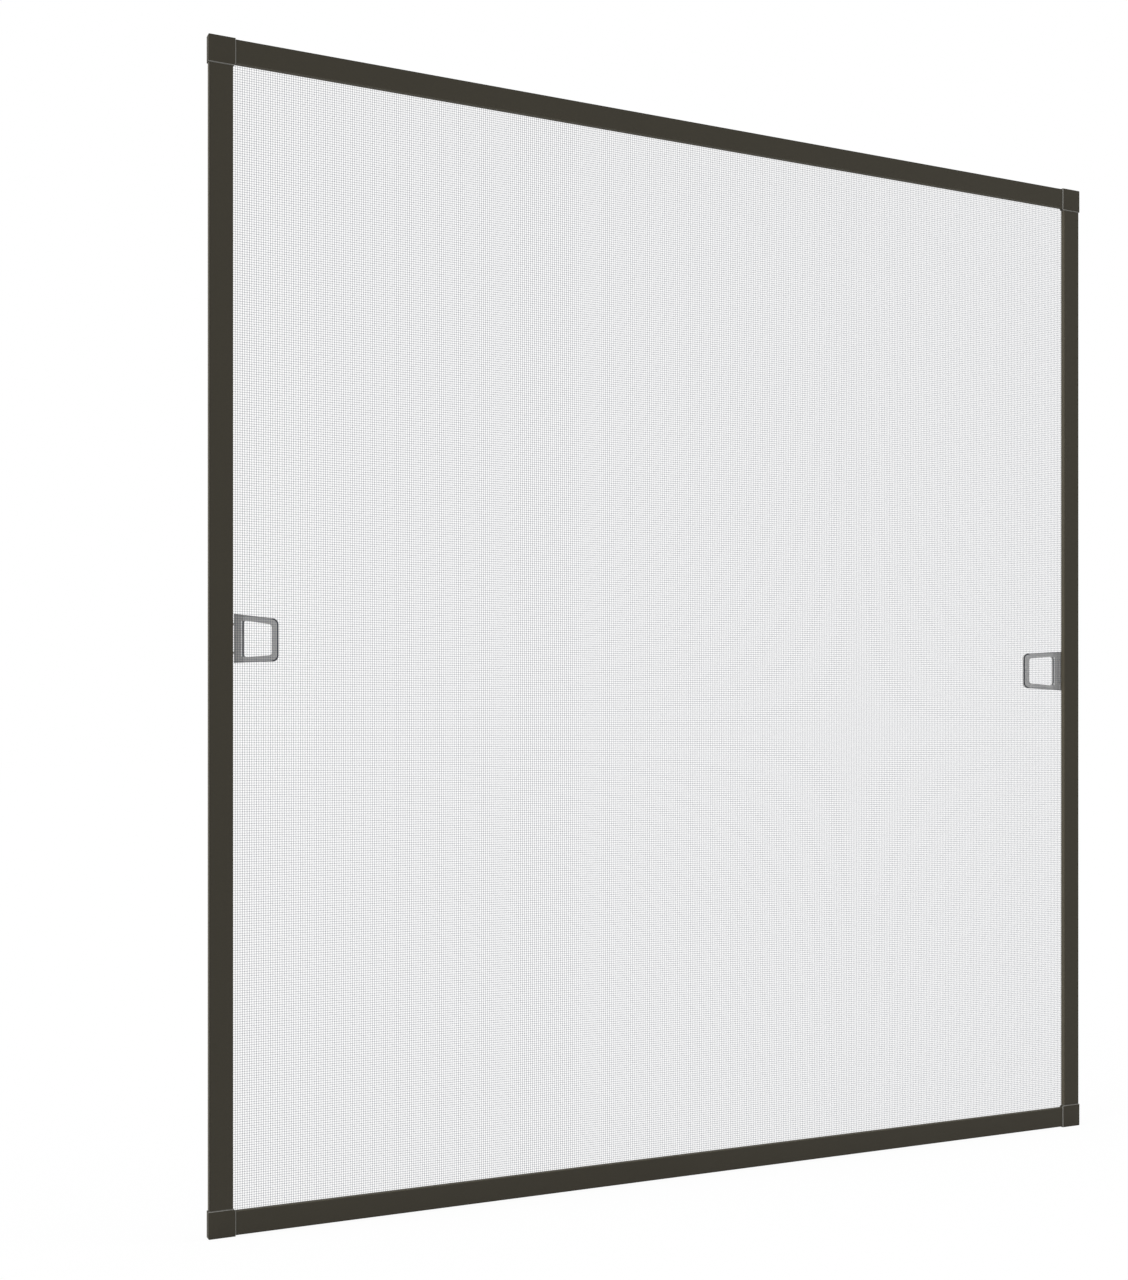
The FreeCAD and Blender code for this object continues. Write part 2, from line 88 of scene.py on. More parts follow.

# How far behind the rails' front a cap carries painted highlight: along its seams, and on the cut
SEAM_DEPTH = 0.1 * MM
MITRE_DEPTH = 1.4 * MM

# The surface of the threads on one side, as a share of the cloth's flat size
THREAD_SHARE = 0.31

# The cord's bore, as a share of its thickness, and the points round each of its ribs
BORE_SHARE = 0.4
RIB_POINTS = 4

# The brush: its backing strip, its reach behind the rail, and shares for its pile and core
BACKING = 1.0 * MM
PILE_REACH = 4.5 * MM
PILE_SHARE = 0.45
CORE_WIDTH_SHARE = 0.85
CORE_HEIGHT_SHARE = 0.35

# Limits between which a fibre's root strays, its lean and turn in radians, and its scale
ROOT_STRAYS = ((-0.2 * MM, -0.3 * MM, 0.0), (0.2 * MM, 0.3 * MM, 0.0))
FIBRE_LEANS = ((-0.07, -0.12, 0.0), (0.07, 0.12, 6.0))
FIBRE_SCALES = ((0.9, 0.9, 0.9), (1.2, 1.2, 1.0))

# The handle's outline: half its height at the tip, its taper towards the rail, its tip's rounding
HANDLE_TIP_HALF = 27.25 * MM
HANDLE_TAPER = 0.059
HANDLE_TIP_RADIUS = 8.0 * MM

# The handle's painted rim shade: where it starts, and how softly it rises and falls
RIM_START = 0.05 * MM
RIM_RISE = 0.15 * MM
RIM_FALL = 0.4 * MM

# How far from the tip the painted rim shade turns faint beside the loop, and by what share
RIM_FADE = (7.0 * MM, 11.0 * MM)
RIM_LOSS = 0.8

# How softly the strip's painted shade begins, and the ends of its mark and the edges of its painted
# highlight line
STRIP_FADE = (-0.5 * MM, 1.5 * MM)
MARK_FADE = 0.5 * MM
LINE_FADE = 0.1 * MM

# A screw's dome, the drum that trims it, its cross recess and shank, as shares of its head
DOME_SHARE = 1.12
DRUM_DEPTH_SHARE = 2.6
CROSS_WIDTH_SHARE = 0.28
CROSS_DEPTH_SHARE = 0.55
SHANK_SHARE = 0.44

# Distances within which points are merged: in built pieces, in copies of solids and in screws
WELD = 1e-7
SOLID_WELD = 1e-6
SCREW_WELD = 2e-6

# The floor's reach, its gap below the frame, and how white it looks
FLOOR_REACH = 30.0
FLOOR_GAP = 0.5 * MM
FLOOR_WHITE = 0.94

# The spread of the two side lights, and the way that the left one shines
LIGHT_SPREAD = math.radians(50)
LEFT_LIGHT = (0.90, 0.13, -0.36)


class Value:
    """A number that varies from place to place, with the usual operators."""

    def __init__(self, tree, socket):
        self.tree = tree
        self.socket = socket

    def math(self, operation, *others):
        """What an operation makes of this number and others, in that order."""
        inputs = dict(enumerate((self, *others)))
        return self.tree.out("ShaderNodeMath", {"operation": operation}, inputs)

    def __add__(self, other):
        return self.math("ADD", other)

    def __radd__(self, other):
        return self.math("ADD", other)

    def __sub__(self, other):
        return self.math("SUBTRACT", other)

    def __rsub__(self, other):
        return self.tree.out("ShaderNodeMath", {"operation": "SUBTRACT"}, {0: other, 1: self})

    def __mul__(self, other):
        return self.math("MULTIPLY", other)

    def __rmul__(self, other):
        return self.math("MULTIPLY", other)

    def __truediv__(self, other):
        return self.math("DIVIDE", other)

    def __neg__(self):
        return self.math("MULTIPLY", -1.0)

    def __abs__(self):
        return self.math("ABSOLUTE")

    def __gt__(self, other):
        return self.math("GREATER_THAN", other)

    def __lt__(self, other):
        return self.math("LESS_THAN", other)

    def ramp(self, start, end):
        """0 up to start, 1 from end on, and a smooth rise between."""
        settings = {"interpolation_type": "SMOOTHSTEP"}
        inputs = {"Value": self, "From Min": start, "From Max": end}
        return self.tree.out("ShaderNodeMapRange", settings, inputs)

    def band(self, start, rise, end, fall):
        """1 between start and end: it rises from start on, and falls from end on."""
        return self.ramp(start, start + rise) - self.ramp(end, end + fall)


class Tree:
    """Adds nodes to the tree of one material or of one geometry modifier."""

    def __init__(self, tree):
        self.tree = tree
        tree.nodes.clear()

    def add(self, kind, settings=None, inputs=None):
        """One node: its settings are set first, then the values or links of its sockets."""
        node = self.tree.nodes.new(kind)
        for name, value in (settings or {}).items():
            setattr(node, name, value)
        for name, value in (inputs or {}).items():
            self.feed(node.inputs[name], value)
        return node

    def feed(self, socket, value):
        """Link a socket to a node's output, or set it to a plain value."""
        if isinstance(value, Value):
            value = value.socket
        if isinstance(value, bpy.types.NodeSocket):
            self.tree.links.new(value, socket)
        else:
            socket.default_value = value

    def out(self, kind, settings=None, inputs=None):
        """One node's first output, as a Value."""
        return Value(self, self.add(kind, settings, inputs).outputs[0])

    def vector(self, x=0.0, y=0.0, z=0.0):
        """A vector from three numbers."""
        return self.add("ShaderNodeCombineXYZ", None, {"X": x, "Y": y, "Z": z}).outputs[0]

    def scattered(self, limits, seed):
        """A random vector for each point, between two limits."""
        inputs = {0: limits[0], 1: limits[1], "Seed": seed}
        settings = {"data_type": "FLOAT_VECTOR"}
        return self.add("FunctionNodeRandomValue", settings, inputs).outputs[0]

    def cube(self, *size):
        """A block about the origin."""
        return self.add("GeometryNodeMeshCube", None, {"Size": self.vector(*size)}).outputs["Mesh"]

    def cylinder(self, vertices, radius, depth):
        """A round bar along Z about the origin."""
        inputs = {"Vertices": vertices, "Radius": radius, "Depth": depth}
        return self.add("GeometryNodeMeshCylinder", None, inputs).outputs["Mesh"]

    def placed(self, geometry, place=(0.0, 0.0, 0.0), scale=(1.0, 1.0, 1.0)):
        """Geometry that is scaled and then moved."""
        inputs = {"Geometry": geometry, "Translation": place, "Scale": scale}
        return self.add("GeometryNodeTransform", None, inputs).outputs[0]

    def copies(self, points, thing, **turns):
        """The same thing on each of some points."""
        inputs = {"Points": points, "Instance": thing, **turns}
        return self.add("GeometryNodeInstanceOnPoints", None, inputs).outputs[0]

    def joined(self, parts):
        """Several geometries as one."""
        join = self.add("GeometryNodeJoinGeometry")
        for part in parts:
            self.feed(join.inputs[0], part)
        return join.outputs[0]

    def boolean(self, operation, first, *others):
        """One solid cut by others, or kept inside them."""
        node = self.add("GeometryNodeMeshBoolean", {"operation": operation, "solver": "EXACT"})
        self.feed(node.inputs["Mesh 1" if operation == "DIFFERENCE" else "Mesh 2"], first)
        for other in others:
            self.feed(node.inputs["Mesh 2"], other)
        return node.outputs["Mesh"]


class Finish:
    """A procedural material: one shader, and patterns on the piece's own coordinates."""

    def __init__(self, name, **constants):
        self.material = bpy.data.materials.new(name)
        self.material.use_nodes = True
        self.tree = Tree(self.material.node_tree)
        inputs = {key.replace("_", " "): value for key, value in constants.items()}
        self.shader = self.tree.add("ShaderNodeBsdfPrincipled", None, inputs)
        output = self.tree.add("ShaderNodeOutputMaterial")
        self.tree.feed(output.inputs["Surface"], self.shader.outputs["BSDF"])
        self.place = self.tree.add("ShaderNodeTexCoord").outputs["Object"]
        parts = self.tree.add("ShaderNodeSeparateXYZ", None, {"Vector": self.place})
        self.x, self.y, self.z = (Value(self.tree, socket) for socket in parts.outputs)

    def stretched(self, *factors):
        """The piece's coordinates, stretched along its axes."""
        settings = {"operation": "MULTIPLY"}
        inputs = {0: self.place, 1: factors}
        return self.tree.add("ShaderNodeVectorMath", settings, inputs).outputs[0]

    def noise(self, scale, detail, place=None):
        """Cloudy noise about 0.5, with so many waves to the metre."""
        inputs = {"Vector": place or self.place, "Scale": scale, "Detail": detail}
        return self.tree.out("ShaderNodeTexNoise", None, inputs)

    def speckle(self, scale):
        """Distance from the nearest of many scattered points, so many to the metre."""
        return self.tree.out("ShaderNodeTexVoronoi", None, {"Vector": self.place, "Scale": scale})

    def mixed(self, factor, first, second):
        """The first colour where the factor is 0, the second where it is 1."""
        node = self.tree.add("ShaderNodeMix", {"data_type": "RGBA"})
        for index, value in ((0, factor), (6, first), (7, second)):
            if isinstance(value, tuple):
                value = (*value, 1.0)
            self.tree.feed(node.inputs[index], value)
        return node.outputs[2]

    def colour(self, socket):
        self.tree.feed(self.shader.inputs["Base Color"], socket)

    def roughness(self, value):
        self.tree.feed(self.shader.inputs["Roughness"], value)

    def bump(self, height, distance):
        """Raise the surface by the height times the distance."""
        inputs = {"Height": height, "Distance": distance}
        raised = self.tree.add("ShaderNodeBump", None, inputs).outputs[0]
        self.tree.feed(self.shader.inputs["Normal"], raised)


def shaded(colour, factor):
    """A colour made lighter or darker by a factor."""
    return tuple(channel * factor for channel in colour)


def coat_finish(name, settings, along, ends, face):
    """Powder coat with a fine orange peel.

    It has painted shade along the outer edge and painted light on the side walls, and bare metal
    shows where the rail was sawn at its two ends. The face is given by its limits, as distances
    from the frame's middle.
    """
    colour = tuple(settings.rail)
    coat = Finish(name, Specular_IOR_Level=0.13)
    cloud = coat.noise(9.0, 2.0)
    grain = coat.noise(2600.0, 2.0)
    peel = coat.noise(700.0, 3.0)
    body = coat.mixed(cloud, shaded(colour, 0.95), shaded(colour, 1.05))
    body = coat.mixed(grain.ramp(0.35, 0.75), body, shaded(colour, 1.16))
    position = coat.x if along == "x" else coat.z
    across = abs(coat.x) if along == "z" else abs(coat.z - FRAME_MIDDLE.z)
    inner, outer = face
    side = across > outer - OUTER_WALL
    # Painted shade: a darker band along the rail's outer edge
    edge = across.ramp(outer - settings.edge, outer - 0.7 * settings.edge) * (1.0 - side)
    body = coat.mixed(edge, body, shaded(colour, settings.edge_painted_shade))
    # Painted light: the rail's inner and outer side walls are painted paler than its face
    wall = 1.0 - across.ramp(*(inner + fade for fade in WALL_FADE))
    body = coat.mixed(wall + side, body, shaded(colour, settings.wall_painted_light))
    middle = (ends[0] + ends[1]) / 2
    reach = (ends[1] - ends[0]) / 2
    to_end = reach - abs(position - middle)
    sawn = 1.0 - to_end.ramp(settings.seam * 0.8, settings.seam)
    coat.colour(coat.mixed(sawn, body, tuple(settings.sawn)))
    coat.roughness(0.5 + peel * 0.16)
    coat.bump(peel * 0.7 + grain * 0.3, 0.03 * MM)
    return coat.material


def moulded_finish(name, settings, cap_inner):
    """Moulded plastic with a fine texture, with a painted highlight on the cap's edges by the seams
    and on its cut.
    """
    colour = tuple(settings.corner)
    plastic = Finish(name, Specular_IOR_Level=0.13)
    cloud = plastic.noise(40.0, 2.0)
    texture = plastic.noise(3200.0, 2.0)
    body = plastic.mixed(cloud, shaded(colour, 0.94), shaded(colour, 1.06))
    past_x = abs(plastic.x) - cap_inner[0]
    past_z = abs(plastic.z - FRAME_MIDDLE.z) - cap_inner[1]
    by_seam = past_x.math("MINIMUM", past_z) < settings.cap_highlight_width
    proud = plastic.y < RAIL_FRONT + SEAM_DEPTH
    cut = (past_x + past_z) < CAP_MITRE + SEAM_DEPTH
    before_back = plastic.y < RAIL_FRONT + MITRE_DEPTH
    # Painted highlight: the cap's edges by the seams and its cut corner are painted pale
    pale = (by_seam * proud).math("MAXIMUM", cut * before_back)
    plastic.colour(plastic.mixed(pale, body, tuple(settings.cap_highlight_colour)))
    plastic.roughness(0.5 + texture * 0.12)
    plastic.bump(texture, 0.02 * MM)
    return plastic.material


def handle_finish(name, settings, centre):
    """Grey plastic: paler on the loop, with painted shade that darkens the rail strip and lays a
    dark rim at two edges, and a painted highlight line.
    """
    plastic = Finish(name, Specular_IOR_Level=0.4)
    cloud = plastic.noise(55.0, 2.0)
    texture = plastic.noise(2400.0, 2.0)
    out = abs(plastic.x)
    strip_edge = RAIL_INNER - settings.strip
    # Painted shade: the strip beside the rail is painted darker than the loop
    strip = out.ramp(*(strip_edge + fade for fade in STRIP_FADE))
    body = plastic.mixed(strip, tuple(settings.colour), tuple(settings.strip_shade_colour))
    body = plastic.mixed(cloud * 0.12, body, shaded(settings.colour, 0.8))
    in_from_tip = out - HANDLE_TIP
    in_from_side = HANDLE_TIP_HALF + in_from_tip * HANDLE_TAPER - abs(plastic.z - centre)
    past_tip = (HANDLE_TIP_RADIUS - in_from_tip).math("MAXIMUM", 0.0)
    past_side = (HANDLE_TIP_RADIUS - in_from_side).math("MAXIMUM", 0.0)
    inside = HANDLE_TIP_RADIUS - (past_tip * past_tip + past_side * past_side).math("SQRT")
    # Painted shade: dark rims along the loop's outline and beside the finger opening
    outline = inside.band(RIM_START, RIM_RISE, settings.rim, RIM_FALL)
    grip_rim_shade = outline * (1.0 - RIM_LOSS * in_from_tip.ramp(*RIM_FADE))
    rim_end = strip_edge + settings.near_rim
    near_rim = out.band(strip_edge + RIM_START, RIM_RISE, rim_end - RIM_FALL, RIM_FALL)
    half_mark = settings.mark / 2
    beside = 1.0 - abs(plastic.z - centre).ramp(half_mark - MARK_FADE, half_mark + MARK_FADE)
    rim = (grip_rim_shade + near_rim * beside).math("MINIMUM", 1.0)
    # Painted highlight: a pale line beside the finger opening's rim
    line_end = rim_end + settings.line
    line = out.band(rim_end - LINE_FADE, 2 * LINE_FADE, line_end - 2 * LINE_FADE, 4 * LINE_FADE)
    body = plastic.mixed(line * beside, body, tuple(settings.line_highlight_colour))
    plastic.colour(plastic.mixed(rim, body, tuple(settings.rim_shade_colour)))
    plastic.roughness(0.34 + texture * 0.1)
    plastic.bump(texture, 0.01 * MM)
    return plastic.material


def thread_finish(name, colour):
    """Coated glass-fibre thread: dark, a little uneven along its length."""
    thread = Finish(name, Specular_IOR_Level=0.12, Roughness=0.6)
    cloud = thread.noise(300.0, 2.0)
    thread.colour(thread.mixed(cloud, shaded(colour, 0.8), shaded(colour, 1.2)))
    thread.bump(thread.noise(5000.0, 2.0), 0.02 * MM)
    return thread.material


def rubber_finish(name, colour):
    """Soft extruded rubber with fine bumps and a bloom of dust."""
    rubber = Finish(name, Specular_IOR_Level=0.25)
    bloom = rubber.noise(120.0, 4.0)
    rubber.colour(rubber.mixed(bloom.ramp(0.4, 0.8), colour, shaded(colour, 1.7)))
    rubber.roughness(0.6 + bloom * 0.2)
    rubber.bump(rubber.noise(1800.0, 2.0), 0.03 * MM)
    return rubber.material


def pile_finish(name, colour):
    """Brush pile: paler at its tips, each fibre a slightly different grey."""
    brush = Finish(name, Specular_IOR_Level=0.3, Roughness=0.75)
    fibre = brush.noise(2200.0, 1.0)
    height = (brush.y - RAIL_BACK).ramp(0.0, PILE_REACH)
    shade = brush.mixed(fibre, shaded(colour, 0.6), shaded(colour, 1.5))
    brush.colour(brush.mixed(height * 0.5, shade, shaded(colour, 2.0)))
    return brush.material


def zinc_finish(name, colour):
    """Zinc-plated sheet: rolled grain across it, soft spangle, dull patches."""
    zinc = Finish(name, Metallic=1.0)
    spangle = zinc.speckle(260.0)
    rolled = zinc.noise(900.0, 3.0, zinc.stretched(0.05, 1.0, 1.0))
    dull = zinc.noise(60.0, 3.0)
    tone = zinc.mixed(spangle.ramp(0.1, 0.9), shaded(colour, 0.88), colour)
    zinc.colour(zinc.mixed(dull.ramp(0.45, 0.75) * 0.5, tone, shaded(colour, 0.72)))
    zinc.roughness(0.28 + rolled * 0.22 + dull * 0.12)
    zinc.bump(rolled, 0.01 * MM)
    return zinc.material


def linked(name, data):
    """A new object in the scene, with its data."""
    made = bpy.data.objects.new(name, data)
    bpy.context.scene.collection.objects.link(made)
    return made


def dress(piece, material):
    """Give a piece one material."""
    piece.data.materials.clear()
    piece.data.materials.append(material)


def dress_node(name, material):
    """Put a material in every slot of a solid, which stays as it is."""
    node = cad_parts[name]
    if not node.material_slots:
        node.data.materials.append(material)
    for slot in node.material_slots:
        slot.material = material


def add_piece(name, mesh, material, nodes):
    """Link a finished mesh as a piece that stands for solids, which are hidden, and give it one
    material.
    """
    piece = linked(name, mesh)
    dress(piece, material)
    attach(piece, "root")
    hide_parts(*nodes)
    return piece


def smooth_by_angle(mesh, degrees=32.0):
    """Smooth shading, with edges kept sharp where faces turn by more than an angle."""
    mesh.shade_smooth()
    mesh.set_sharp_from_angle(angle=math.radians(degrees))


def softened(node, width, segments=2):
    """A copy of a solid with its facets merged and its edges rounded."""
    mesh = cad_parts[node].data.copy()
    edit = bmesh.new()
    edit.from_mesh(mesh)
    bmesh.ops.remove_doubles(edit, verts=edit.verts, dist=SOLID_WELD)
    bmesh.ops.dissolve_limit(
        edit,
        angle_limit=math.radians(0.5),
        verts=edit.verts,
        edges=edit.edges,
        delimit={"NORMAL"},
    )
    edit.to_mesh(mesh)
    edit.free()
    holder = linked(f"{node}_holder", mesh)
    bevel = holder.modifiers.new("Rounded edges", "BEVEL")
    bevel.width = width
    bevel.segments = segments
    bevel.limit_method = "ANGLE"
    bevel.angle_limit = math.radians(35)
    result = baked(holder)
    smooth_by_angle(result)
    return result


def baked(holder):
    """An object's mesh with its modifiers applied. The object itself is deleted."""
    graph = bpy.context.evaluated_depsgraph_get()
    result = bpy.data.meshes.new_from_object(holder.evaluated_get(graph), depsgraph=graph)
    source = holder.data
    bpy.data.objects.remove(holder)
    bpy.data.meshes.remove(source)
    return result


def grown(name, inputs, material, build, points=((0.0, 0.0, 0.0),)):
    """The mesh that a tree of nodes makes from some points.

    inputs maps each named size to its value; build takes the tree and those inputs, and returns
    the geometry, whose copies then become real and take the material.
    """
    group = bpy.data.node_groups.new(name, "GeometryNodeTree")
    for way in ("INPUT", "OUTPUT"):
        group.interface.new_socket("Geometry", in_out=way, socket_type="NodeSocketGeometry")
    identifiers = {}
    for label, value in inputs.items():
        kind = "NodeSocketInt" if isinstance(value, int) else "NodeSocketFloat"
        socket = group.interface.new_socket(label, in_out="INPUT", socket_type=kind)
        identifiers[label] = socket.identifier
    tree = Tree(group)
    source = tree.add("NodeGroupInput")
    sizes = {label: Value(tree, source.outputs[label]) for label in inputs}
    sizes["Geometry"] = source.outputs["Geometry"]
    geometry = build(tree, sizes)
    realized = tree.add("GeometryNodeRealizeInstances", None, {"Geometry": geometry}).outputs[0]
    coated = {"Geometry": realized, "Material": material}
    coated = tree.add("GeometryNodeSetMaterial", None, coated).outputs[0]
    tree.add("NodeGroupOutput", None, {"Geometry": coated})

    mesh = bpy.data.meshes.new(name)
    mesh.from_pydata(points, [], [])
    holder = linked(name, mesh)
    modifier = holder.modifiers.new(name, "NODES")
    modifier.node_group = group
    for label, value in inputs.items():
        modifier[identifiers[label]] = value
    return baked(holder)


def staple(tree, half_length, drop, radius, bend, along):
    """One thread: a round bar of six sides, its two ends bent forward into the groove."""
    line = tree.add("GeometryNodeMeshLine", None, {"Count": 4}).outputs[0]
    index = tree.out("GeometryNodeInputIndex")
    side = (index > 1.5) * 2.0 - 1.0
    end = abs(index - 1.5) > 1.0
    reach = side * half_length
    place = tree.vector(y=-drop * end, **{along: reach})
    moved = tree.add("GeometryNodeSetPosition", None, {"Geometry": line, "Position": place})
    curve = tree.add("GeometryNodeMeshToCurve", None, {"Mesh": moved.outputs[0]}).outputs[0]
    inputs = {"Curve": curve, "Count": 2, "Radius": bend}
    rounded = tree.add("GeometryNodeFilletCurve", {"mode": "POLY"}, inputs).outputs[0]
    inputs = {"Resolution": 6, "Radius": radius}
    circle = tree.add("GeometryNodeCurvePrimitiveCircle", None, inputs).outputs[0]
    inputs = {"Curve": rounded, "Profile Curve": circle, "Fill Caps": True}
    return tree.add("GeometryNodeCurveToMesh", None, inputs).outputs[0]


def weave(tree, sizes):
    """Upright and level threads at an even pitch, flattened where they cross and fuse."""
    radius = sizes["Thread Width"] / 2.0
    flat = sizes["Thread Flatness"]
    drop = sizes["Hem Drop"] / flat
    layers = []
    for along, across, count, pitch, half, step in (
        ("z", "x", "Upright Threads", "Pitch Across", "Half Height", -0.5),
        ("x", "z", "Level Threads", "Pitch Up", "Half Width", 0.5),
    ):
        thread = staple(tree, sizes[half], drop, radius, sizes["Bend Radius"], along)
        first = sizes[pitch] * (sizes[count] - 1.0) * -0.5
        start = tree.vector(**{across: first})
        offset = tree.vector(**{across: sizes[pitch]})
        inputs = {"Count": sizes[count], "Start Location": start, "Offset": offset}
        row = tree.add("GeometryNodeMeshLine", None, inputs).outputs[0]
        behind = tree.vector(y=radius * flat * step)
        layer = tree.placed(tree.copies(row, thread), behind, tree.vector(1.0, flat, 1.0))
        layers.append(layer)
    return tree.joined(layers)


def pile(tree, sizes):
    """Fibres in close rows, each leaning and cut a little differently."""
    inputs = {
        "Size X": sizes["Length"],
        "Size Y": sizes["Pile Width"],
        "Vertices X": sizes["Fibres Along"],
        "Vertices Y": sizes["Rows"],
    }
    grid = tree.add("GeometryNodeMeshGrid", None, inputs).outputs[0]
    stray = tree.scattered(ROOT_STRAYS, 3)
    roots = tree.add("GeometryNodeSetPosition", None, {"Geometry": grid, "Offset": stray})
    inputs = {
        "Vertices": 3,
        "Radius Top": sizes["Fibre Radius"] * 0.5,
        "Radius Bottom": sizes["Fibre Radius"],
        "Depth": sizes["Pile Height"],
    }
    fibre = tree.add("GeometryNodeMeshCone", None, inputs).outputs[0]
    lean = tree.scattered(FIBRE_LEANS, 5)
    trim = tree.scattered(FIBRE_SCALES, 7)
    return tree.copies(roots.outputs[0], fibre, Rotation=lean, Scale=trim)


def screw_head(tree, sizes):
    """A domed round head with a cross recess, on a shank, set on each point and facing +Y."""
    head = sizes["Head Radius"]
    rise = sizes["Head Height"]
    drum = tree.cylinder(32, head, rise * DRUM_DEPTH_SHARE)
    ball_radius = head * DOME_SHARE
    inputs = {"Segments": 32, "Rings": 16, "Radius": ball_radius}
    ball = tree.add("GeometryNodeMeshUVSphere", None, inputs).outputs["Mesh"]
    ball = tree.placed(ball, scale=tree.vector(1.0, 1.0, rise / ball_radius))
    dome = tree.boolean("INTERSECT", drum, ball)
    lower_half = tree.cube(head * 3.0, head * 3.0, rise * 2.0)
    cuts = [tree.placed(lower_half, tree.vector(z=-rise))]
    for across, along in ((CROSS_WIDTH_SHARE, 1.0), (1.0, CROSS_WIDTH_SHARE)):
        arm = tree.cube(head * across, head * along, rise * (2 * CROSS_DEPTH_SHARE))
        cuts.append(tree.placed(arm, tree.vector(z=rise)))
    dome = tree.boolean("DIFFERENCE", dome, *cuts)
    shank = tree.cylinder(24, sizes["Shank Radius"], sizes["Shank Length"])
    shank = tree.placed(shank, tree.vector(z=sizes["Shank Length"] * -0.5))
    screw = tree.joined((dome, shank))
    return tree.copies(sizes["Geometry"], screw, Rotation=(-math.pi / 2, 0.0, 0.0))


def side_matrix(side, place):
    """Carry local X along a side, Y inwards and Z backwards, and the origin to a place."""
    along = (0, 0, 1) if side in ("left", "right") else (1, 0, 0)
    rotation = Matrix((along, INWARD[side], (0, 1, 0))).transposed().to_4x4()
    return Matrix.Translation(place) @ rotation


def mend(mesh, reach=WELD):
    """Merge a mesh's doubled points and turn its faces outwards."""
    edit = bmesh.new()
    edit.from_mesh(mesh)
    bmesh.ops.remove_doubles(edit, verts=edit.verts, dist=reach)
    bmesh.ops.recalc_face_normals(edit, faces=edit.faces)
    edit.to_mesh(mesh)
    edit.free()


def add_blocks(mesh, length, blocks):
    """Add blocks along X to a mesh, each given by its width, its bottom and its top."""
    edit = bmesh.new()
    edit.from_mesh(mesh)
    for width, bottom, top in blocks:
        size = Matrix.Diagonal((length, width, top - bottom, 1.0))
        place = Matrix.Translation((0, 0, (bottom + top) / 2))
        bmesh.ops.create_cube(edit, size=1.0, matrix=place @ size)
    edit.to_mesh(mesh)
    edit.free()


def ring_bar(name, reaches, bore, half_length):
    """A hollow bar along X: its outside reaches out in even steps round X, its bore is round."""
    count = len(reaches)
    vertices = []
    for x in (-half_length, half_length):
        for radii in (reaches, [bore] * count):
            for i, radius in enumerate(radii):
                turn = 2 * math.pi * i / count
                vertices.append((x, radius * math.cos(turn), radius * math.sin(turn)))
    faces = []
    for i in range(count):
        j = (i + 1) % count
        faces.append((i, j, 2 * count + j, 2 * count + i))
        faces.append((count + j, count + i, 3 * count + i, 3 * count + j))
        faces.append((j, i, count + i, count + j))
        faces.append((2 * count + i, 2 * count + j, 3 * count + j, 3 * count + i))
    mesh = bpy.data.meshes.new(name)
    mesh.from_pydata(vertices, [], faces)
    return mesh


class CoatSettings(bpy.types.PropertyGroup):
    """Colours of the rails and corners."""

    rail: FloatVectorProperty(
        name="Rail colour",
        description="Powder coat on the rails",
        subtype="COLOR",
        default=(0.0370, 0.0330, 0.0240),
    )
    corner: FloatVectorProperty(
        name="Corner colour",
        description="Moulded plastic of the corner connectors",
        subtype="COLOR",
        default=(0.0370, 0.0330, 0.0240),
    )
    sawn: FloatVectorProperty(
        name="Sawn metal",
        description="Bare metal that shows as a thin line at a rail's sawn ends",
        subtype="COLOR",
        default=(0.15, 0.147, 0.135),
    )
    # Painted highlight: width of the pale band on a cap's edges by the seams
    cap_highlight_width: FloatProperty(
        name="Cap edge width",
        description="Width of the paler edge of a corner's cap beside a seam",
        default=0.55 * MM,
        unit="LENGTH",
    )
    # Painted highlight: colour of the pale band on a cap's edges and cut
    cap_highlight_colour: FloatVectorProperty(
        name="Cap edge colour",
        description="Paler plastic on the edges of a corner's cap",
        subtype="COLOR",
        default=(0.19, 0.186, 0.172),
    )
    # Painted shade: width of the darkened band along a rail's outer edge
    edge: FloatProperty(
        name="Edge width",
        description="Width of the darker line along a rail's outer edge",
        default=1.0 * MM,
        unit="LENGTH",
    )
    # Painted shade: how dark the outer edge band is painted
    edge_painted_shade: FloatProperty(
        name="Edge shade",
        description="Colour of a rail's outer edge, as a share of the coat's",
        default=0.32,
    )
    # Painted light: how much paler the side walls are painted
    wall_painted_light: FloatProperty(
        name="Wall shade",
        description="Colour of a rail's side walls, as a share of the coat's",
        default=1.7,
    )
    seam: FloatProperty(
        name="Seam width",
        description="Width of the bare line at each end of a rail",
        default=0.5 * MM,
        unit="LENGTH",
    )


class ClothSettings(bpy.types.PropertyGroup):
    """Sizes and colour of the woven cloth."""

    pitch: FloatProperty(
        name="Pitch",
        description="Distance from one thread to the next, both ways",
        default=3.0 * MM,
        unit="LENGTH",
    )
    thread: FloatProperty(
        name="Thread width",
        description="Width of a thread, seen from the front",
        default=0.365 * MM,
        unit="LENGTH",
    )
    flatness: FloatProperty(
        name="Flatness",
        description="Depth of a thread as a share of its width",
        default=0.5,
    )
    lip: FloatProperty(
        name="Lip width",
        description="Width of the rail's lip that the cloth crosses before its groove",
        default=3.0 * MM,
        unit="LENGTH",
    )
    drop: FloatProperty(
        name="Hem drop",
        description="How far the cloth's ends go into the groove",
        default=5.2 * MM,
        unit="LENGTH",
    )
    colour: FloatVectorProperty(
        name="Thread colour",
        description="Coated glass-fibre thread",
        subtype="COLOR",
        default=(0.034, 0.048, 0.088),
    )


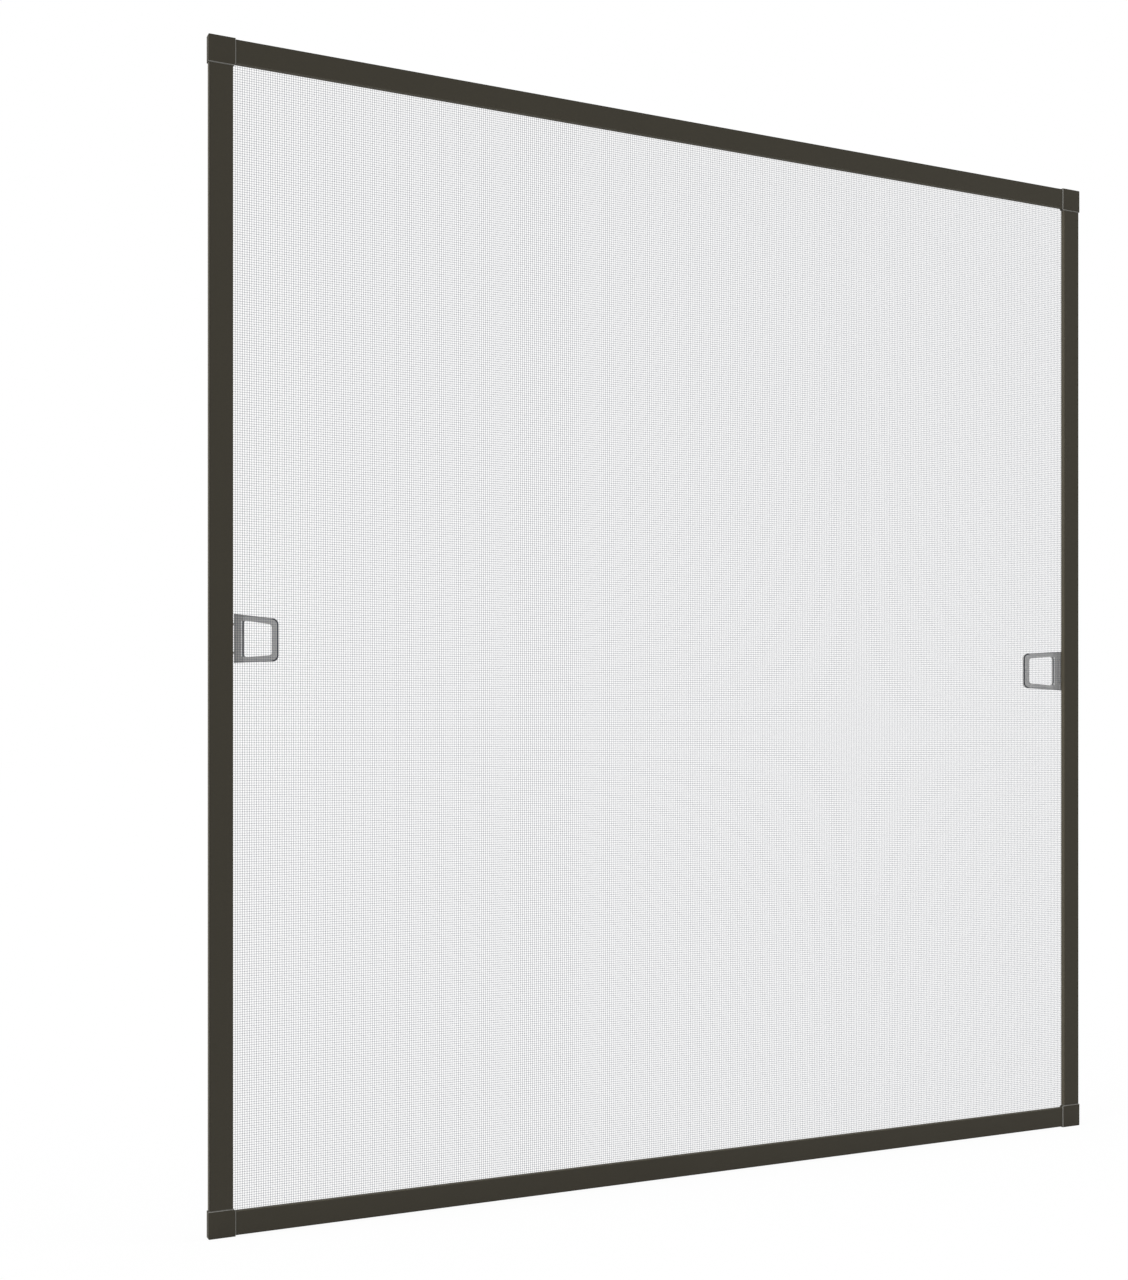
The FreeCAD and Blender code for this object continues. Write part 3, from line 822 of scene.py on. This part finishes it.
class SealSettings(bpy.types.PropertyGroup):
    """Sizes and colours of the cords and brush seals."""

    ribs: IntProperty(
        name="Cord ribs",
        description="Ribs round the cord that holds the cloth",
        default=14,
        min=6,
    )
    rib_depth: FloatProperty(
        name="Rib depth",
        description="Depth of the furrows between the cord's ribs",
        default=0.16 * MM,
        unit="LENGTH",
    )
    cord_colour: FloatVectorProperty(
        name="Cord colour",
        description="Rubber of the cord",
        subtype="COLOR",
        default=(0.022, 0.022, 0.023),
    )
    fibre_pitch: FloatProperty(
        name="Fibre pitch",
        description="Distance from one fibre of the brush to the next, along it",
        default=0.4 * MM,
        unit="LENGTH",
    )
    rows: IntProperty(
        name="Fibre rows",
        description="Rows of fibres across the brush",
        default=4,
        min=2,
    )
    fibre: FloatProperty(
        name="Fibre radius",
        description="Radius of one fibre at its root",
        default=0.11 * MM,
        unit="LENGTH",
    )
    pile_colour: FloatVectorProperty(
        name="Pile colour",
        description="Fibres and backing of the brush seal",
        subtype="COLOR",
        default=(0.075, 0.075, 0.078),
    )


class HandleSettings(bpy.types.PropertyGroup):
    """Sizes and colours of the pull handles."""

    strip: FloatProperty(
        name="Strip",
        description="Distance from the rail's inner edge to the finger opening",
        default=15.8 * MM,
        unit="LENGTH",
    )
    # Painted shade: width of the dark rim along the loop's outline
    rim: FloatProperty(
        name="Rim",
        description="Width of the dark rim that follows the loop's outline",
        default=2.0 * MM,
        unit="LENGTH",
    )
    # Painted shade: width of the dark rim beside the finger opening
    near_rim: FloatProperty(
        name="Near rim",
        description="Width of the dark rim on the strip's side of the finger opening",
        default=2.2 * MM,
        unit="LENGTH",
    )
    # Painted highlight: width of the pale line beside the opening's rim
    line: FloatProperty(
        name="Line",
        description="Width of the pale line beside the finger opening's rim",
        default=1.7 * MM,
        unit="LENGTH",
    )
    # Covers both the painted rim shade and the painted highlight line
    mark: FloatProperty(
        name="Mark length",
        description="Length of the rim and of the line beside the finger opening",
        default=45.0 * MM,
        unit="LENGTH",
    )
    softness: FloatProperty(
        name="Softness",
        description="Width of the rounding along the handle's edges",
        default=0.45 * MM,
        unit="LENGTH",
    )
    colour: FloatVectorProperty(
        name="Loop colour",
        description="Grey plastic of the finger loop",
        subtype="COLOR",
        default=(0.45, 0.445, 0.43),
    )
    # Painted shade: the strip beside the rail takes a darker grey than the loop
    strip_shade_colour: FloatVectorProperty(
        name="Strip colour",
        description="Grey plastic of the strip beside the rail",
        subtype="COLOR",
        default=(0.35, 0.345, 0.33),
    )
    # Painted highlight: colour of the pale line
    line_highlight_colour: FloatVectorProperty(
        name="Line colour",
        description="Pale line beside the finger opening's rim",
        subtype="COLOR",
        default=(0.85, 0.845, 0.83),
    )
    # Painted shade: colour of the dark rims
    rim_shade_colour: FloatVectorProperty(
        name="Rim colour",
        description="Dark rim",
        subtype="COLOR",
        default=(0.045, 0.044, 0.042),
    )


class BracketSettings(bpy.types.PropertyGroup):
    """Sizes and colour of the hanging brackets and their screws."""

    edge: FloatProperty(
        name="Sheet edge",
        description="Rounding of the bracket's sheared edges",
        default=0.18 * MM,
        unit="LENGTH",
    )
    head: FloatProperty(
        name="Head radius",
        description="Radius of a screw's head",
        default=2.7 * MM,
        unit="LENGTH",
    )
    rise: FloatProperty(
        name="Head height",
        description="Height of a screw's head",
        default=1.9 * MM,
        unit="LENGTH",
    )
    spacing: FloatProperty(
        name="Screw spacing",
        description="Distance between a bracket's two screws",
        default=13.0 * MM,
        unit="LENGTH",
    )
    colour: FloatVectorProperty(
        name="Zinc colour",
        description="Zinc plating on the brackets and screws",
        subtype="COLOR",
        default=(0.42, 0.43, 0.445),
    )


class StageSettings(bpy.types.PropertyGroup):
    """The view's place and lens, and the light."""

    left_of_frame: FloatProperty(
        name="Left of frame",
        description="How far the eye stands to the left of the frame's left edge",
        default=0.448,
        unit="LENGTH",
    )
    before_frame: FloatProperty(
        name="Before frame",
        description="How far the eye stands before the rails' front",
        default=2.0146,
        unit="LENGTH",
    )
    eye_height: FloatProperty(
        name="Eye height",
        description="Height of the eye above the frame's bottom edge",
        default=0.6312,
        unit="LENGTH",
    )
    turn: FloatProperty(
        name="Turn",
        description="How far the eye turns to the right of straight ahead",
        default=math.radians(24.906),
        subtype="ANGLE",
    )
    lens: FloatProperty(
        name="Lens",
        description="Focal length on a sensor 36 mm long",
        default=45.62,
    )
    rise: FloatProperty(
        name="Shift",
        description="Upward shift of the view, as a share of its long side",
        default=0.0720,
    )
    fill: FloatProperty(
        name="Fill light",
        description="Strength of the even light from all round",
        default=0.45,
    )
    left: FloatProperty(
        name="Left light",
        description="Strength of the soft light from the left",
        default=3.6,
    )
    right: FloatProperty(
        name="Right light",
        description="Strength of the soft light from the right",
        default=2.2,
    )


class SCREEN_OT_rails(bpy.types.Operator):
    """Coat the four rails"""

    bl_idname = "screen_frame.rails"
    bl_label = "Coat rails"

    def execute(self, context):
        coat = context.scene.screen_coat
        for along, sides, face in (
            ("z", ("left", "right"), (RAIL_INNER, RAIL_OUTER)),
            ("x", ("top", "bottom"), (TOP_INNER, TOP_OUTER)),
        ):
            ends = [getattr(corner, along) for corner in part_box(f"rail_{sides[0]}")]
            material = coat_finish(f"powder_coat_{along}", coat, along, ends, face)
            for side in sides:
                dress_node(f"rail_{side}", material)
        return {"FINISHED"}


class SCREEN_OT_corners(bpy.types.Operator):
    """Round the corner connectors' edges and give them their moulded texture"""

    bl_idname = "screen_frame.corners"
    bl_label = "Finish corners"

    def execute(self, context):
        cap_inner = (RAIL_INNER - CAP_OVERLAP, TOP_INNER - CAP_OVERLAP)
        material = moulded_finish("corner_plastic", context.scene.screen_coat, cap_inner)
        for corner in CORNERS:
            node = f"corner_{corner}"
            mesh = softened(node, 0.15 * MM)
            add_piece(f"moulded_{node}", mesh, material, [node])
        return {"FINISHED"}


class SCREEN_OT_cloth(bpy.types.Operator):
    """Weave the insect cloth thread by thread"""

    bl_idname = "screen_frame.cloth"
    bl_label = "Weave cloth"

    def execute(self, context):
        cloth = context.scene.screen_cloth
        material = thread_finish("coated_thread", tuple(cloth.colour))
        hem = cloth.lip + cloth.thread
        half_width = RAIL_INNER + hem
        half_height = TOP_INNER + hem
        inputs = {
            "Half Width": half_width,
            "Half Height": half_height,
            "Pitch Across": cloth.pitch,
            "Pitch Up": cloth.pitch,
            "Upright Threads": int(2 * half_width / cloth.pitch),
            "Level Threads": int(2 * half_height / cloth.pitch),
            "Thread Width": cloth.thread,
            "Thread Flatness": cloth.flatness,
            "Hem Drop": cloth.drop,
            "Bend Radius": cloth.thread,
        }
        mesh = grown("cloth_weave", inputs, material, weave)
        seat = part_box("insect_mesh")[1].y - cloth.thread * cloth.flatness
        mesh.transform(Matrix.Translation((FRAME_MIDDLE.x, seat, FRAME_MIDDLE.z)))
        smooth_by_angle(mesh, 70.0)
        piece = add_piece("woven_cloth", mesh, material, ["insect_mesh"])
        flat = (2 * (half_width + cloth.drop), 2 * (half_height + cloth.drop))
        THREAD_SHARE * flat[0] * flat[1]
        return {"FINISHED"}


class SCREEN_OT_cords(bpy.types.Operator):
    """Lay the ribbed cords in their grooves"""

    bl_idname = "screen_frame.cords"
    bl_label = "Lay cords"

    def execute(self, context):
        seals = context.scene.screen_seals
        material = rubber_finish("cord_rubber", tuple(seals.cord_colour))
        waves = [math.sin(math.pi * i / RIB_POINTS) ** 2 for i in range(RIB_POINTS * seals.ribs)]
        for side in SIDES:
            node = f"cord_{side}"
            low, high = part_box(node)
            size = high - low
            radius = size.y / 2
            reaches = [radius - seals.rib_depth * wave for wave in waves]
            half_length = max(size.x, size.z) / 2
            mesh = ring_bar(f"ribbed_{node}", reaches, BORE_SHARE * radius, half_length)
            mesh.transform(side_matrix(side, (low + high) / 2))
            mend(mesh)
            smooth_by_angle(mesh, 60.0)
            add_piece(f"ribbed_{node}", mesh, material, [node])
        return {"FINISHED"}


class SCREEN_OT_brushes(bpy.types.Operator):
    """Fit the brush seals: a woven backing strip, a dense core and loose fibres"""

    bl_idname = "screen_frame.brushes"
    bl_label = "Fit brush seals"

    def execute(self, context):
        seals = context.scene.screen_seals
        material = pile_finish("brush_pile", tuple(seals.pile_colour))
        for side in SIDES:
            node = f"brush_seal_{side}"
            low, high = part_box(node)
            length = max(high.x - low.x, high.z - low.z)
            width = min(high.x - low.x, high.z - low.z)
            pile_width = PILE_SHARE * width
            pile_height = high.y - low.y - BACKING
            inputs = {
                "Length": length - seals.fibre_pitch,
                "Pile Width": pile_width,
                "Pile Height": pile_height,
                "Fibres Along": int(length / seals.fibre_pitch),
                "Rows": seals.rows,
                "Fibre Radius": seals.fibre,
            }
            mesh = grown(f"{node}_pile", inputs, material, pile)
            mesh.transform(Matrix.Translation((0.0, 0.0, BACKING)))
            core_top = BACKING + CORE_HEIGHT_SHARE * pile_height
            strip = (width, 0.0, BACKING)
            core = (CORE_WIDTH_SHARE * pile_width, BACKING, core_top)
            add_blocks(mesh, length, (strip, core))
            place = (low + high) / 2
            place.y = low.y
            mesh.transform(side_matrix(side, place))
            mend(mesh)
            smooth_by_angle(mesh, 50.0)
            add_piece(f"bristled_{node}", mesh, material, [node])
        return {"FINISHED"}


class SCREEN_OT_handles(bpy.types.Operator):
    """Round the pull handles' edges and give them their grey plastic"""

    bl_idname = "screen_frame.handles"
    bl_label = "Finish handles"

    def execute(self, context):
        settings = context.scene.screen_handles
        for hand in HANDS:
            node = f"handle_{hand}"
            low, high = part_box(node)
            centre = (low.z + high.z) / 2
            material = handle_finish(f"handle_plastic_{hand}", settings, centre)
            mesh = softened(node, settings.softness, 3)
            add_piece(f"moulded_{node}", mesh, material, [node])
        return {"FINISHED"}


class SCREEN_OT_brackets(bpy.types.Operator):
    """Plate the hanging brackets and drive their screws"""

    bl_idname = "screen_frame.brackets"
    bl_label = "Plate brackets"

    def execute(self, context):
        settings = context.scene.screen_brackets
        material = zinc_finish("zinc_plate", tuple(settings.colour))
        low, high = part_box("hanger_screws")
        seat = high.y - settings.rise
        points = []
        for place in HANGERS:
            node = f"hanger_{place}"
            mesh = softened(node, settings.edge)
            add_piece(f"plated_{node}", mesh, material, [node])
            start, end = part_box(node)
            middle = (start.x + end.x) / 2
            z = high.z - settings.head if "top" in place else low.z + settings.head
            points += [(middle + sign * settings.spacing / 2, seat, z) for sign in (-1, 1)]
        inputs = {
            "Head Radius": settings.head,
            "Head Height": settings.rise,
            "Shank Radius": SHANK_SHARE * settings.head,
            "Shank Length": seat - low.y,
        }
        steel = zinc_finish("zinc_screw", tuple(settings.colour))
        mesh = grown("cross_head_screws", inputs, steel, screw_head, points)
        mend(mesh, SCREW_WELD)
        smooth_by_angle(mesh, 30.0)
        add_piece("cross_head_screws", mesh, steel, ["hanger_screws"])
        return {"FINISHED"}


class SCREEN_OT_stage(bpy.types.Operator):
    """Set the pale floor, the soft light and the view"""

    bl_idname = "screen_frame.stage"
    bl_label = "Set stage"

    def execute(self, context):
        stage = context.scene.screen_stage
        self.lay_floor()
        self.light_world(context.scene, stage.fill)
        self.hang_lights(stage)
        self.place_view(context.scene, stage)
        context.scene.view_settings.view_transform = "Standard"
        return {"FINISHED"}

    def lay_floor(self):
        """A wide pale floor that looks white to the eye and keeps a faint shadow."""
        mesh = bpy.data.meshes.new("floor")
        level = FRAME_LOW.z - FLOOR_GAP
        ways = ((-1, -1), (1, -1), (1, 1), (-1, 1))
        corners = [(FLOOR_REACH * x, FLOOR_REACH * y, level) for x, y in ways]
        mesh.from_pydata(corners, [], [(0, 1, 2, 3)])
        floor = linked("floor", mesh)
        pale = bpy.data.materials.new("pale_floor")
        pale.use_nodes = True
        tree = Tree(pale.node_tree)
        matt = tree.add("ShaderNodeBsdfDiffuse", None, {"Color": (0.9, 0.9, 0.9, 1.0)}).outputs[0]
        glow = tree.add("ShaderNodeEmission", None, {"Strength": 1.0}).outputs[0]
        white = self.seen(tree) * FLOOR_WHITE
        shader = tree.add("ShaderNodeMixShader", None, {0: white, 1: matt, 2: glow}).outputs[0]
        tree.add("ShaderNodeOutputMaterial", None, {"Surface": shader})
        dress(floor, pale)

    def seen(self, tree):
        """1 for rays that the eye, a gloss or a clear piece sends out, else 0."""
        path = tree.add("ShaderNodeLightPath")
        names = ("Is Camera Ray", "Is Glossy Ray", "Is Transmission Ray")
        camera, glossy, clear = (Value(tree, path.outputs[name]) for name in names)
        return camera.math("MAXIMUM", glossy).math("MAXIMUM", clear)

    def light_world(self, scene, fill):
        """An even fill from all round, in front of a white background."""
        scene.world = bpy.data.worlds.new("pale_world")
        scene.world.use_nodes = True
        tree = Tree(scene.world.node_tree)
        seen = self.seen(tree)
        strength = seen + (1.0 - seen) * fill
        inputs = {"Color": (1, 1, 1, 1), "Strength": strength}
        shader = tree.add("ShaderNodeBackground", None, inputs).outputs[0]
        tree.add("ShaderNodeOutputWorld", None, {"Surface": shader})

    def hang_lights(self, stage):
        """Two broad soft lights, left and right, a little before the frame and above it."""
        for hand, across in (("left", 1), ("right", -1)):
            lamp = bpy.data.lights.new(f"light_{hand}", "SUN")
            lamp.energy = getattr(stage, hand)
            lamp.angle = LIGHT_SPREAD
            light = linked(f"light_{hand}", lamp)
            way = Vector((across * LEFT_LIGHT[0], *LEFT_LIGHT[1:]))
            light.rotation_euler = way.to_track_quat("-Z", "Y").to_euler()
            light.visible_glossy = False

    def place_view(self, scene, stage):
        """The eye, level and turned to the right, with its view shifted up."""
        view = bpy.data.cameras.new("view")
        view.sensor_width = 36.0
        view.lens = stage.lens
        view.shift_y = stage.rise
        view.clip_end = 100.0
        eye = linked("view", view)
        eye.location = (
            FRAME_LOW.x - stage.left_of_frame,
            RAIL_FRONT - stage.before_frame,
            FRAME_LOW.z + stage.eye_height,
        )
        eye.rotation_euler = (math.pi / 2, 0.0, -stage.turn)
        scene.camera = eye


class SCREEN_PT_panel(bpy.types.Panel):
    """Lists the steps that finish the frame, with their sizes and colours"""

    bl_label = "Screen Frame"
    bl_idname = "SCREEN_PT_panel"
    bl_space_type = "VIEW_3D"
    bl_region_type = "UI"
    bl_category = "Screen Frame"

    def draw(self, context):
        layout = self.layout
        for settings, steps in PANEL_ROWS:
            group = getattr(context.scene, settings)
            box = layout.box()
            for name in group.__annotations__:
                box.prop(group, name)
            for step in steps:
                box.operator(step.bl_idname)


SETTINGS = {
    "screen_coat": CoatSettings,
    "screen_cloth": ClothSettings,
    "screen_seals": SealSettings,
    "screen_handles": HandleSettings,
    "screen_brackets": BracketSettings,
    "screen_stage": StageSettings,
}
PANEL_ROWS = (
    ("screen_coat", (SCREEN_OT_rails, SCREEN_OT_corners)),
    ("screen_cloth", (SCREEN_OT_cloth,)),
    ("screen_seals", (SCREEN_OT_cords, SCREEN_OT_brushes)),
    ("screen_handles", (SCREEN_OT_handles,)),
    ("screen_brackets", (SCREEN_OT_brackets,)),
    ("screen_stage", (SCREEN_OT_stage,)),
)
OPERATORS = tuple(step for _, steps in PANEL_ROWS for step in steps)
CLASSES = (*SETTINGS.values(), *OPERATORS, SCREEN_PT_panel)


def register():
    for each in CLASSES:
        bpy.utils.register_class(each)
    for name, kind in SETTINGS.items():
        setattr(bpy.types.Scene, name, PointerProperty(type=kind))


def unregister():
    for name in SETTINGS:
        delattr(bpy.types.Scene, name)
    for each in reversed(CLASSES):
        bpy.utils.unregister_class(each)


def main():
    register()
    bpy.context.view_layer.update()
    bpy.ops.screen_frame.rails()
    bpy.ops.screen_frame.corners()
    bpy.ops.screen_frame.cloth()
    bpy.ops.screen_frame.cords()
    bpy.ops.screen_frame.brushes()
    bpy.ops.screen_frame.handles()
    bpy.ops.screen_frame.brackets()
    bpy.ops.screen_frame.stage()


if __name__ == "__main__":
    main()
